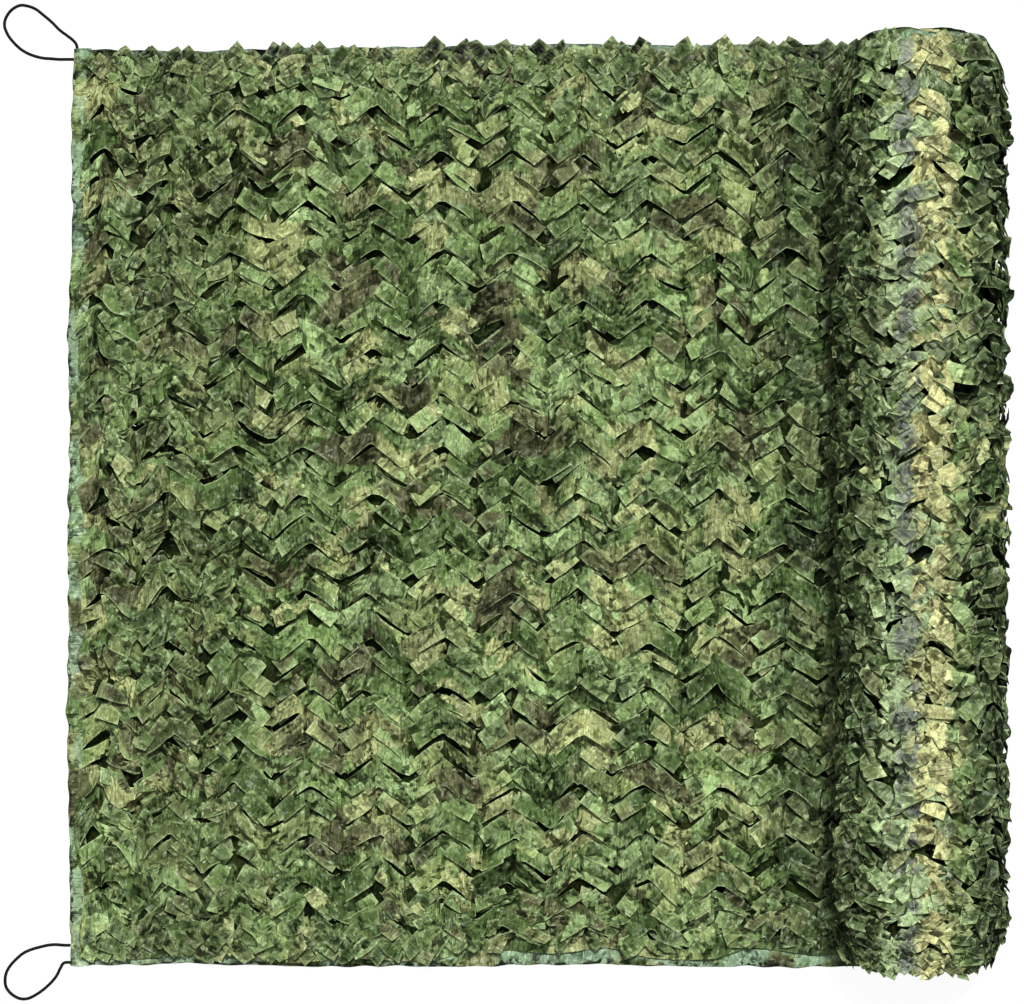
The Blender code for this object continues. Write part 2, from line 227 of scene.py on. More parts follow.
class Slits:
    """The random make of every slit: how its lips stand, gape, lean and are coloured."""

    def __init__(self, seed, count, tongue, ribbon, gape):
        chance = np.random.default_rng(seed)
        size = (LINES, count)
        self.tongue = tongue * np.clip(chance.normal(1, 0.45, size), -0.5, 1.7)
        self.ribbon = ribbon * chance.normal(1, 0.8, size)
        self.gape = gape * chance.gamma(1.3, 1.0, size) - 0.3 * abs(gape)
        self.lean = chance.uniform(-0.8, 0.8, size)
        self.slide = chance.normal(0, 0.004, size)
        self.shift = chance.normal(0, 0.03, size)
        self.half = SLIT_HALF * chance.uniform(0.88, 1.08, size)
        self.uneven = 1.2 * max(gape, 0.0) * chance.uniform(-1, 1, (2, *size))
        self.upset = chance.uniform(0, 1, size) < 0.13
        self.tone = chance.uniform(-1, 1, size)

    def at(self, line, pitches):
        """(slit number, place in it from -1 to 1, opening from 0 to 1) at each place."""
        phase = 0.5 if line % 2 else 0.0
        number = np.floor(pitches - phase + 0.5).astype(int)
        number = np.clip(number, 0, self.tongue.shape[1] - 1)
        centre = number + phase + self.shift[line, number]
        place = (pitches - centre) / self.half[line, number]
        opening = np.clip((1 - np.abs(place)) / 0.7, 0, 1)
        return number, place, opening * (2 - opening)


def shifted_print(along, across, row):
    """Where in the camouflage a place in the strip at `row` lies.

    It drifts from strip to strip, as each one hides part of the next.
    """
    return np.stack([along + 0.30 * row, across + 0.36 * row, 0 * along], axis=-1)


class DieCut:
    """A die-cut cloth in its own flat space, grown strip by strip from one side to the other.

    along is where it starts and ends, columns are the points for each pitch, rows are those
    across odd strips, even strips and the two margins, and inset is how far it stays in from
    the netting's sides. wild(along, across) is how freely the cloth stands there. pitch and
    roll tip the zigzag's arms endways and sideways, and pleat, crease and wave are heights of
    its folds, from short to long. drift is how far tumbled cloth moves along and across.
    """

    def __init__(
        self,
        along,
        columns,
        rows,
        seed,
        slits,
        wild,
        inset=0.0,
        pitch=0.0,
        roll=0.0,
        pleat=0.0,
        crease=0.0,
        wave=0.0,
        drift=0.0,
    ):
        self.start, self.end = along
        self.rows, self.seed, self.slits, self.wild = rows, seed, slits, wild
        self.pitch, self.roll, self.pleat = pitch, roll, pleat
        self.crease, self.wave, self.drift = crease, wave, drift
        self.side = HALF_WIDTH - inset
        count = round((self.end - self.start) / PITCH * columns)
        self.along = np.linspace(self.start, self.end, count + 1)[None, :]
        self.pitches = self.along / PITCH + 1.5
        self.chance = np.random.default_rng(seed + 5)
        self.parts = {"points": [], "cloth": [], "print": [], "edge": [], "tone": [], "faces": []}
        self.total = 0
        self.crease_row = 0.0
        self.row_below = None
        for strip in range(-1, LINES):
            self.add_strip(strip)

    def lip(self, line):
        """(across, number, place, opening) along a line, or along a side if it is past the last one."""
        if 0 <= line < LINES:
            across = line_across(line) + ZIGZAG_HALF * zigzag(self.pitches)
            return (across, *self.slits.at(line, self.pitches))
        zero = np.zeros_like(self.pitches)
        return zero + (self.side if line > 0 else -self.side), zero.astype(int), zero, zero

    def add_strip(self, strip):
        margin = strip in (-1, LAST_LINE)
        rows = self.rows[2] if margin else self.rows[0] if strip % 2 else self.rows[1]
        low, low_number, low_place, low_open = self.lip(strip)
        high, high_number, high_place, high_open = self.lip(strip + 1)
        t = np.linspace(0, 1, rows + 1)[:, None]
        a = self.along + 0 * t
        y = low * (1 - t) + high * t
        flat_y = y
        height = np.maximum(high - low, 0.004)
        wild = self.wild(a, y)
        off = np.zeros_like(y)

        # The lower edge is the upper lip of the slit below, a tongue on even lines.
        line = max(strip, 0)
        s = self.slits
        rise = (s.ribbon if line % 2 else s.tongue)[line, low_number]
        rise = rise * low_open * (1 + s.lean[line, low_number] * low_place)
        spread = 1 + 2.5 * np.clip(wild - 1, 0, 1)
        gape = s.gape[line, low_number] * low_open * spread
        gape = gape + s.uneven[0, line, low_number] * low_open * np.sign(low_place)
        reach = (1 - t) ** 1.3
        off = off + rise * reach * wild
        y = y + (0.5 * gape + rise**2 / 0.20) * reach
        a = a + s.slide[line, low_number] * low_open * reach

        # The upper edge is the lower lip of the slit above, a tongue on odd lines.
        line = min(strip + 1, LAST_LINE)
        dip = (s.tongue if line % 2 else s.ribbon)[line, high_number]
        dip = dip * high_open * (1 - s.lean[line, high_number] * high_place)
        dip = np.where(s.upset[line, high_number], -0.7 * dip, dip)
        gape = s.gape[line, high_number] * high_open * spread
        gape = gape + s.uneven[1, line, high_number] * high_open * np.sign(high_place)
        reach = t**1.3
        off = off + (0.75 if line % 2 else -0.6) * dip * reach * wild
        y = y - (0.5 * gape + dip**2 / 0.20) * reach
        a = a - s.slide[line, high_number] * high_open * reach

        # The arms between the zigzag's bends roll and pitch, and overlap in a fold at each bend.
        slant = 0.16 * (1 if strip % 4 < 2 else -1)
        arm_place = 2 * self.pitches + slant * (t - 0.5)
        arm = np.floor(arm_place).astype(int)
        in_arm = arm_place - arm - 0.5
        arms = self.chance.normal(0, 1, (3, 200))
        off = off + self.roll * arms[0][arm % 200] * (t - 0.5) * height / 0.03 * wild
        off = off + self.pitch * np.clip(arms[1][arm % 200] + 0.7, -1.5, 2.2) * in_arm * wild
        y = y + 0.2 * self.roll * arms[2][(arm + 40) % 200] * wild

        # Short pleats across the arms, each tilted its own way.
        pleat_place = 3.0 * arm_place + 0.8 * slant * (t - 0.5) + 0.5 * arms[2][arm % 200]
        pleat = np.floor(pleat_place).astype(int)
        tilts = self.chance.normal(0, 1, 700)[pleat % 700]
        off = off + self.pleat * tilts * (pleat_place - pleat - 0.5) * wild

        # Sharp creases about 28 mm and 12 mm apart, and long swells.
        rows_of_facets = 1.0 if rows == self.rows[0] else 2.0
        warp = 0.45 * swell(a, y, 0.10, self.seed + 7)
        row = self.crease_row + t * rows_of_facets
        off = off + self.crease * creases(row + 0.3 * warp, 4 * self.pitches + warp, self.seed + 1) * wild
        fine = creases(2.3 * row, 9.7 * self.pitches + 2 * warp, self.seed + 2)
        off = off + 0.38 * self.crease * fine * wild
        off = off + self.wave * swell(a, y, 0.16, self.seed + 3)
        a = a + 0.004 * swell(a, y, 0.22, self.seed + 4)
        y = y + 0.005 * swell(a, y, 0.25, self.seed + 6)
        drift = self.drift * (wild - 0.1) * np.clip(wild - 0.8, 0, 1)
        a = a + drift * swell(a, y, 0.085, self.seed + 8)
        y = y + drift * swell(a, y, 0.075, self.seed + 9)
        self.crease_row += rows_of_facets

        tone = 0.8 * arms[2][arm % 200] / 2
        tone = tone + s.tone[max(strip, 0), low_number] * low_open * (1 - t)
        tone = tone + s.tone[min(strip + 1, LAST_LINE), high_number] * high_open * t
        edge = (t == 0) * (low_open > 0) + (t == 1) * (high_open > 0)
        along = self.along + 0 * t
        in_print = shifted_print(along, flat_y, (strip - LAST_LINE / 2) * CELL / 2)
        index = self.total + np.arange(a.size).reshape(a.shape)
        self.total += a.size
        if self.row_below is not None:  # one piece with the strip below where no slit parts them
            index = index.copy()
            index[0] = np.where(low_open[0] > 0, index[0], self.row_below)
        self.row_below = index[-1]
        quads = np.stack([index[:-1, :-1], index[:-1, 1:], index[1:, 1:], index[1:, :-1]], axis=-1)
        self.parts["points"].append(np.stack([a, y, off], axis=-1).reshape(-1, 3))
        self.parts["cloth"].append(np.stack([along, flat_y, along], axis=-1).reshape(-1, 3))
        self.parts["print"].append(in_print.reshape(-1, 3))
        self.parts["edge"].append((edge + 0.0 * a).ravel())
        self.parts["tone"].append((tone + 0.0 * a).ravel())
        self.parts["faces"].append(quads.reshape(-1, 4))

    def joined(self):
        return {key: np.concatenate(values) for key, values in self.parts.items()}


def add_cloth(name, part, material, sharp=22.0):
    """A mesh of the cloth's points, already in place, with the attributes that its material reads.

    "cloth" is where in its own cloth a point is, as x and y, with its place along the piece as
    z, and "print" is where in the camouflage it is.
    """
    used, faces = np.unique(part["faces"], return_inverse=True)
    faces = faces.reshape(part["faces"].shape)
    mesh = bpy.data.meshes.new(name)
    mesh.vertices.add(len(used))
    mesh.vertices.foreach_set("co", part["points"][used].astype(np.float32).ravel())
    mesh.loops.add(faces.size)
    mesh.loops.foreach_set("vertex_index", faces.astype(np.int32).ravel())
    mesh.polygons.add(len(faces))
    mesh.polygons.foreach_set("loop_start", np.arange(0, faces.size, 4, dtype=np.int32))
    mesh.update(calc_edges=True)
    for label in ("cloth", "print", "edge", "tone"):
        kind, socket = ("FLOAT_VECTOR", "vector") if part[label].ndim == 2 else ("FLOAT", "value")
        field = mesh.attributes.new(label, kind, "POINT")
        field.data.foreach_set(socket, part[label][used].astype(np.float32).ravel())
    mesh.shade_smooth()
    mesh.set_sharp_from_angle(angle=math.radians(sharp))
    mesh.materials.append(material)
    obj = bpy.data.objects.new(name, mesh)
    bpy.context.scene.collection.objects.link(obj)
    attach(obj, "root")
    return obj


# ---------------------------------------------------------------- where the cloth lies


def end_face_x(y):
    """The laid end's outer face."""
    across, outs = zip(*LAID_END_BENDS)
    return LAID_END_X - np.interp(y, across, outs)


def side_face_y(side, x):
    """A side's outer face: side is -1 at the near one and 1 at the far one."""
    places, near, far = zip(*SIDE_BENDS)
    return side * (HALF_WIDTH + np.interp(x, places, far if side > 0 else near))


def above(z, floor, softness):
    """z, eased to stay above a floor."""
    knee = floor + softness
    return np.where(z < knee, floor + softness * np.exp(np.minimum(z - knee, 0) / softness), z)


def limited(off, most):
    """off, eased so that no leaf stands further off than `most`."""
    return most * np.tanh(off / most)


def lay(points, base):
    """Cloth space to the floor, with the laid end and the sides wandering as they do."""
    a, y, off = points.T
    off = limited(off, LAID_STAND)
    x = LAID_END_X + a
    x = x + (end_face_x(y) - LAID_END_X) * np.clip(1 - a / 0.25, 0, 1) ** 2
    # The first 90 mm are gathered towards the roll, and bare the end tape.
    gathered = 0.010 + 0.006 * swell(y, 0 * y, 0.17, 5)
    x = x + gathered * np.clip(1 - a / 0.09, 0, 1)
    y = y + np.interp(x, *zip(*NEAR_RECESS)) * np.clip((-y - 0.62) / 0.11, 0, 1)
    outward = np.where(y > 0, side_face_y(1, x), -side_face_y(-1, x)) - HALF_WIDTH
    y = y + np.sign(y) * outward * (np.abs(y) / HALF_WIDTH) ** 2
    return np.stack([x, y, above(base + off, LOWEST_LAID, 0.004)], axis=1)


def turn_of(arc):
    """The turns that a length of cloth makes round the roll, whose radius shrinks as it goes in."""
    return (ROLL_RADIUS - np.sqrt(ROLL_RADIUS**2 - LAYER * arc / math.pi)) / LAYER


def arc_of(turns):
    """The length of cloth in so many turns."""
    return 2 * math.pi * (ROLL_RADIUS * turns - LAYER / 2 * turns**2)


def wind(points, start_arc=0.0):
    """Cloth space to the roll. The outer turn leaves the floor at an arc of 0."""
    arc, y, off = points.T
    off = limited(off, WOUND_STAND)
    turn = turn_of(arc + start_arc)
    angle = 2 * math.pi * turn - math.pi / 2
    depth = LAYER * turn - off + ROLL_ROUNDING * np.clip((np.abs(y) - 0.66) / 0.09, 0, 1) ** 2
    x = ROLL_X + (ROLL_RADIUS_X - depth) * np.cos(angle)
    to_flank = np.minimum(np.abs(x - ROLL_X) / ROLL_RADIUS_X, 1.05) ** 6
    short = np.where(y > 0, *ROLL_SHORT) + np.where(y > 0, *ROLL_DOMES) * to_flank
    y = y - np.sign(y) * short * np.clip((np.abs(y) - 0.60) / 0.15, 0, 1)
    z = ROLL_Z + (ROLL_RADIUS_Z - depth) * np.sin(angle)
    return np.stack([x, y, above(z, np.where(turn < 0.5, 0.001, 0.010), 0.006)], axis=1)


# ---------------------------------------------------------------- materials


def screen(red, green, blue):
    """A colour given as 0 to 255 on a screen, in linear light."""
    parts = [v / 255 for v in (red, green, blue)]
    return tuple(p / 12.92 if p <= 0.04045 else ((p + 0.055) / 1.055) ** 2.4 for p in parts) + (1.0,)


GREEN = screen(107, 128, 79)
LIGHT_GREEN = screen(130, 151, 102)
DEEP_GREEN = screen(82, 102, 58)
KHAKI = screen(126, 139, 90)
TAN = screen(145, 151, 104)
BARK = screen(95, 98, 67)
PAINTED_SHADE_GREEN = screen(56, 72, 42)
PAINTED_HIGHLIGHT_GREEN = screen(152, 170, 130)
PAINTED_HIGHLIGHT_STRAW = screen(184, 180, 128)
SLATE = screen(112, 118, 108)
MINT = screen(150, 176, 148)
FRAY_AND_HIGHLIGHT = screen(184, 204, 148)
ROLL_BANDS = (  # along the outer turn, half width, colour, strength, least noise
    # Painted shade down the roll's two flanks.
    (0.60, 0.138, PAINTED_SHADE_GREEN, 0.75, 0.36),
    (0.19, 0.132, PAINTED_SHADE_GREEN, 0.85, 0.34),
    # Painted highlight over the roll's top, where it faces the light, in pale green and straw.
    (0.408, 0.050, PAINTED_HIGHLIGHT_GREEN, 0.72, 0.36),
    (0.385, 0.028, PAINTED_HIGHLIGHT_STRAW, 0.80, 0.42),
    (0.417, 0.015, SLATE, 0.92, 0.47),
)
LAID_BANDS = (  # the same, along the laid part
    (0.190, 0.080, BARK, 0.40, 0.45),
    (0.215, 0.090, DEEP_GREEN, 0.50, 0.40),
    # Painted shade on the laid net beside the roll, where the roll shadows it.
    (1.24, 0.090, PAINTED_SHADE_GREEN, 0.60, 0.30),
)


class Nodes:
    """Short calls for a material's nodes."""

    def __init__(self, name):
        self.material = bpy.data.materials.new(name)
        self.material.use_nodes = True
        self.tree = self.material.node_tree
        self.shader = self.tree.nodes["Principled BSDF"]

    def add(self, kind, *inputs, **settings):
        node = self.tree.nodes.new(kind)
        for key, value in settings.items():
            setattr(node, key, value)
        for socket, value in zip(node.inputs, inputs):
            self.put(socket, value)
        return node

    def put(self, socket, value):
        if isinstance(value, bpy.types.NodeSocket):
            self.tree.links.new(value, socket)
        elif value is not None:
            socket.default_value = value

    def attribute(self, name, output="Fac"):
        return self.add("ShaderNodeAttribute", attribute_name=name).outputs[output]

    def noise(self, where, scale, detail=2.0, roughness=0.5, output="Fac"):
        node = self.add("ShaderNodeTexNoise", noise_dimensions="2D")
        self.put(node.inputs["Vector"], where)
        node.inputs["Scale"].default_value = scale
        node.inputs["Detail"].default_value = detail
        node.inputs["Roughness"].default_value = roughness
        return node.outputs[output]

    def math(self, operation, first, second=None):
        return self.add("ShaderNodeMath", first, second, operation=operation).outputs[0]

    def vector(self, operation, *inputs, output=0):
        return self.add("ShaderNodeVectorMath", *inputs, operation=operation).outputs[output]

    def step(self, value, low, high):
        """0 below low, 1 above high, smooth between them."""
        node = self.add("ShaderNodeMapRange", value, low, high, interpolation_type="SMOOTHSTEP")
        return node.outputs[0]

    def grey(self, value, dark, light, low=0.0, high=1.0):
        """A grey from dark to light as value goes from low to high."""
        level = self.add("ShaderNodeMapRange", value, low, high, dark, light).outputs[0]
        return self.add("ShaderNodeCombineColor", level, level, level).outputs[0]

    def mix(self, share, first, second, blend="MIX"):
        node = self.add("ShaderNodeMix", data_type="RGBA", blend_type=blend)
        self.put(node.inputs["Factor"], share)
        self.put(node.inputs[6], first)
        self.put(node.inputs[7], second)
        return node.outputs[2]

    def bump(self, height, distance, strength=1.0):
        node = self.add("ShaderNodeBump")
        node.inputs["Strength"].default_value = strength
        node.inputs["Distance"].default_value = distance
        self.put(node.inputs["Height"], height)
        return node.outputs["Normal"]

    def facets(self, where, size, slope):
        """The height, in metres, of flat random facets about a size across, as in crumpled cloth."""
        cells = self.add("ShaderNodeTexVoronoi", voronoi_dimensions="2D")
        self.put(cells.inputs["Vector"], where)
        cells.inputs["Scale"].default_value = 1 / size
        lean = self.vector("MULTIPLY_ADD", cells.outputs["Color"], (1.0, 1.0, 0.0), (-0.5, -0.5, 0.0))
        from_centre = self.vector("SUBTRACT", where, cells.outputs["Position"])
        height = self.vector("DOT_PRODUCT", lean, from_centre, output="Value")
        return self.math("MULTIPLY", height, 2 * slope)


def cord_material(name):
    """Near-black braid, a little paler along its ridges."""
    n = Nodes(name)
    fibres = n.noise(n.attribute("cloth", "Vector"), 2500.0, 2.0, 0.6)
    colour = n.mix(n.step(n.attribute("tone"), -0.2, 1.0), screen(9, 11, 8), screen(26, 29, 23))
    n.put(n.shader.inputs["Base Color"], n.mix(1.0, colour, n.grey(fibres, 0.5, 1.5), "MULTIPLY"))
    n.shader.inputs["Roughness"].default_value = 0.62
    n.shader.inputs["Specular IOR Level"].default_value = 0.15
    n.put(n.shader.inputs["Normal"], n.bump(fibres, 0.0004, 0.7))
    return n.material


def cloth_material(name, painted_shade=1.0, bands=(), uncut=False):
    """The printed cloth: camouflage in its own coordinates, weave, creases and pale cut edges,
    whose paleness is partly the cut fibres and partly a painted highlight.

    bands are stretches where the colour is mostly one colour: print in some, painted shade and
    painted highlight in others: (along, half width, colour, strength, and how much of the band
    goes without it). painted_shade darkens all of the colour towards black, as painted shade.
    """
    n = Nodes(name)
    cloth = n.attribute("cloth", "Vector")
    in_print = n.attribute("print", "Vector")
    ragged = n.vector("SUBTRACT", n.noise(in_print, 42.0, 1.0, 0.6, output="Color"), (0.5, 0.5, 0.5))
    spot = n.vector("MULTIPLY_ADD", ragged, (0.014, 0.014, 0.0), in_print)

    def patches(shift, scale, least):
        value = n.noise(n.vector("ADD", spot, (shift, 0.3 * shift, 0.0)), scale, 0.0, 0.4)
        return n.step(value, least - 0.01, least + 0.03)

    colour = n.mix(patches(0.0, 6.0, 0.54), GREEN, KHAKI)
    colour = n.mix(patches(3.1, 9.0, 0.56), colour, LIGHT_GREEN)
    colour = n.mix(patches(5.7, 7.0, 0.59), colour, DEEP_GREEN)
    colour = n.mix(patches(8.2, 10.0, 0.61), colour, TAN)
    colour = n.mix(patches(11.9, 8.0, 0.66), colour, BARK)
    if bands:
        along = n.vector("MULTIPLY_ADD", ragged, (0.0, 0.0, 0.03), cloth)
        along = n.add("ShaderNodeSeparateXYZ", along).outputs[2]
        for place, half, band_colour, strength, least in bands:
            away = n.math("ABSOLUTE", n.math("SUBTRACT", along, place))
            inside = n.math("MULTIPLY", n.step(away, half + 0.004, half - 0.004), strength)
            blotches = n.noise(n.vector("ADD", spot, (7 * place, place, 0.0)), 6.0)
            here = n.step(blotches, least, least + 0.03)
            colour = n.mix(n.math("MULTIPLY", inside, here), colour, band_colour)

    # Light and dark: the weave, its streaks, worn places and the tone attribute, which differs at random
    # from leaf to leaf and is lowered as painted shade on the roll's right flank.
    mottle = n.noise(cloth, 420.0, 1.0, 0.9)
    streaks = n.noise(n.vector("MULTIPLY", cloth, (1.0, 0.16, 1.0)), 260.0, 1.0, 0.8)
    wear = n.noise(cloth, 60.0, 1.0, 0.6)
    shades = n.math("ADD", n.math("MULTIPLY", mottle, 0.35), n.math("MULTIPLY", streaks, 0.8))
    shades = n.math("ADD", shades, n.math("MULTIPLY", wear, 0.20))
    shades = n.math("ADD", shades, n.math("MULTIPLY", n.attribute("tone"), 0.26))
    colour = n.mix(1.0, colour, n.grey(shades, -0.12, 2.44, -0.08, 1.62), "MULTIPLY")

    # Pale rims along the cut edges: partly the pale cut fibres, partly a painted highlight.
    edge = n.math("POWER", n.math("MAXIMUM", n.attribute("edge"), 0.0), 4.0)
    colour = n.mix(n.math("MULTIPLY", edge, 0.80), colour, FRAY_AND_HIGHLIGHT)
    if uncut:
        minty = n.step(n.noise(cloth, 13.0, 2.0, 0.6), 0.41, 0.53)
        colour = n.mix(n.math("MULTIPLY", minty, 0.6), colour, MINT)
    # Painted shade: the whole colour is darkened towards near black, for cloth that lies in shadow.
    if painted_shade != 1.0:
        colour = n.mix(1.0, colour, (0.9 * painted_shade, 1.1 * painted_shade, 0.65 * painted_shade, 1.0), "MULTIPLY")

    n.put(n.shader.inputs["Base Color"], colour)
    n.shader.inputs["Roughness"].default_value = 0.48
    n.shader.inputs["Specular IOR Level"].default_value = 0.45 if painted_shade == 1.0 else 0.1
    pleats = n.noise(n.vector("MULTIPLY", cloth, (1.0, 0.20, 1.0)), 210.0, 1.0, 0.7)
    crumple = n.math("ADD", n.facets(cloth, 0.014, 0.85), n.facets(cloth, 0.0060, 0.75))
    crumple = n.math("ADD", crumple, n.math("MULTIPLY", pleats, 0.0025))
    n.put(n.shader.inputs["Normal"], n.bump(crumple, 1.0))
    return n.material


def floor_material():
    """A plain floor that is pale by its own even glow."""
    n = Nodes("floor")
    grain = n.noise(n.add("ShaderNodeTexCoord").outputs["Object"], 3.0, 3.0, 0.6)
    colour = n.mix(1.0, (0.05, 0.05, 0.05, 1.0), n.grey(grain, 0.99, 1.01), "MULTIPLY")
    n.put(n.shader.inputs["Base Color"], colour)
    n.shader.inputs["Roughness"].default_value = 0.9
    n.shader.inputs["Emission Color"].default_value = (1.0, 1.0, 1.0, 1.0)
    n.shader.inputs["Emission Strength"].default_value = 0.95
    n.put(n.shader.inputs["Normal"], n.bump(grain, 0.0001, 0.5))
    return n.material


# ---------------------------------------------------------------- the netting


def held_by_tapes(a, y):
    """How free the laid cloth is: 1 clear of the tapes, and 0.12 at each."""
    sides = np.clip((HALF_WIDTH - 0.016 - np.abs(y)) / 0.03, 0.12, 1)
    return sides * np.clip((a - 0.015) / 0.035, 0.12, 1)


def arm_middles(start, end):
    """The middles of the zigzag's arms: along, across, and 1 for a rising or -1 for a falling one."""
    first = math.ceil(2 * (start / PITCH + 1.5) - 0.5)
    last = math.floor(2 * (end / PITCH + 1.5) - 0.5)
    pitches = (np.arange(first, last + 1) + 0.5) / 2
    strips = np.arange(-1, LINES)
    low, high = np.maximum(strips, 0), np.minimum(strips + 1, LAST_LINE)
    across = np.array([(line_across(a) + line_across(b)) / 2 for a, b in zip(low, high)])
    rising = np.sign(zigzag(pitches + 0.05) - zigzag(pitches - 0.05))
    a, y = np.meshgrid((pitches - 1.5) * PITCH, across)
    return np.stack([a, y, rising + 0 * y], axis=-1).reshape(-1, 3)


def leaves(middles, seed, loose, lift, tilt, size=1.0, tone=0.0):
    """Tongues of cut cloth over the strips, each folded its own way, in cloth space.

    loose is 0 for neat straight arms to 1 for tumbled, pointed ones; lift is how high their
    middles stand, and tilt is the slope of their folds. Each is a number for each leaf.
    """
    chance = np.random.default_rng(seed)
    count = len(middles)

    def any_of(low, high):
        return chance.uniform(low, high, (count, 1, 1))

    each = (loose, lift, tilt, size, tone)
    loose, lift, tilt, size, tone = (np.broadcast_to(v, (count,))[:, None, None] for v in each)
    u = np.linspace(-0.5, 0.5, 5)[None, :, None]
    v = np.linspace(-0.5, 0.5, 3)[None, None, :]
    length = size * LEAF_LENGTH * (1 + loose * any_of(-0.35, 0.35))
    width = size * LEAF_WIDTH * (1 + loose * any_of(-0.35, 0.25))
    blunt = 1 - loose * any_of(0.0, 0.95)
    width = width * np.where(u > 0.1, 1 - (1 - blunt) * (u - 0.1) / 0.4, 1.0)
    cut = any_of(-0.45, 0.45) * (0.5 + loose) * (0.5 - u)
    cut = cut + any_of(-0.45, 0.45) * (0.5 + loose) * (0.5 + u)
    along_leaf = length * u + width * cut * v
    across_leaf = width * v + length * (0.2 + 0.4 * loose) * any_of(-0.5, 0.5) * u**2
    slopes = tilt * chance.normal(0, 1, (count, 4, 1))
    heights = np.concatenate([0 * slopes[:, :1], np.cumsum(slopes, axis=1)], axis=1) * length / 4
    heights = heights - heights.mean(axis=1, keepdims=True)
    heights = heights + tilt * any_of(-1, 1) * across_leaf + tilt * any_of(-1, 1) * np.abs(across_leaf)
    heading = middles[:, 2, None, None] * (ARM_ANGLE + 0.2 * loose) + loose * any_of(-0.8, 0.8)
    heading = heading + math.pi * (any_of(0, 1) > 0.5)
    a = middles[:, 0, None, None] + np.cos(heading) * along_leaf - np.sin(heading) * across_leaf
    y = middles[:, 1, None, None] + np.sin(heading) * along_leaf + np.cos(heading) * across_leaf
    off = lift + heights
    shift = (0.004 + 0.010 * loose[..., None]) * chance.normal(0, 1, (count, 1, 1, 2))
    other_print = 0.3 * (1 + seed % 7) * ((loose > 0.3) | (any_of(0, 1) > 0.5))
    middle_a, middle_y = middles[:, 0, None, None], middles[:, 1, None, None]
    in_print = shifted_print(
        middle_a + 0.4 * along_leaf + shift[..., 0] + other_print,
        middle_y + 0.4 * across_leaf + shift[..., 1],
        middle_y,
    )
    flat = np.stack([middle_a + along_leaf, middle_y + across_leaf, a], axis=-1)
    rim = (np.abs(u) == 0.5) | (np.abs(v) == 0.5)
    whole = np.arange(count)[:, None, None] * a[0].size + grid_faces(5, 3)
    return {
        "points": np.stack([a, y, off], axis=-1).reshape(-1, 3),
        "faces": whole.reshape(-1, 4),
        "cloth": flat.reshape(-1, 3),
        "print": in_print.reshape(-1, 3),
        "edge": (0.82 * rim + 0 * a).ravel(),
        "tone": (tone + any_of(-1, 1) + 0 * a).ravel(),
    }


def edge_middles(start, end, across, step, seed):
    """Middles for leaves along a side, that lie over it at all angles."""
    chance = np.random.default_rng(seed)
    a = evenly(start, end, step)
    a = a + chance.uniform(-0.008, 0.008, len(a))
    y = across + chance.uniform(-0.012, 0.008, len(a)) * np.sign(across)
    return np.stack([a, y, chance.choice([-1.2, 1.2], len(a))], axis=1)


def strewn(middles, chance, spread):
    """These middles, moved up to spread along and across."""
    moved = middles.copy()
    moved[:, :2] += chance.uniform(-1, 1, (len(middles), 2)) * spread
    return moved


def together(parts):
    """Several cloth parts as one."""
    starts = np.cumsum([0] + [len(part["points"]) for part in parts])
    joined = {key: np.concatenate([part[key] for part in parts]) for key in parts[0]}
    joined["faces"] = np.concatenate([part["faces"] + start for part, start in zip(parts, starts)])
    return joined


def grid_faces(rows, columns):
    index = np.arange(rows * columns).reshape(rows, columns)
    quads = np.stack([index[:-1, :-1], index[:-1, 1:], index[1:, 1:], index[1:, :-1]], axis=-1)
    return quads.reshape(-1, 4)


def evenly(start, end, step):
    return np.linspace(start, end, max(2, round(abs(end - start) / step) + 1))


def on_flank(along):
    """1 on the right side of the roll, down to 0 where the outer turn comes over its top."""
    return np.clip((FLANK_LENGTH - along) / 0.08, 0, 1)


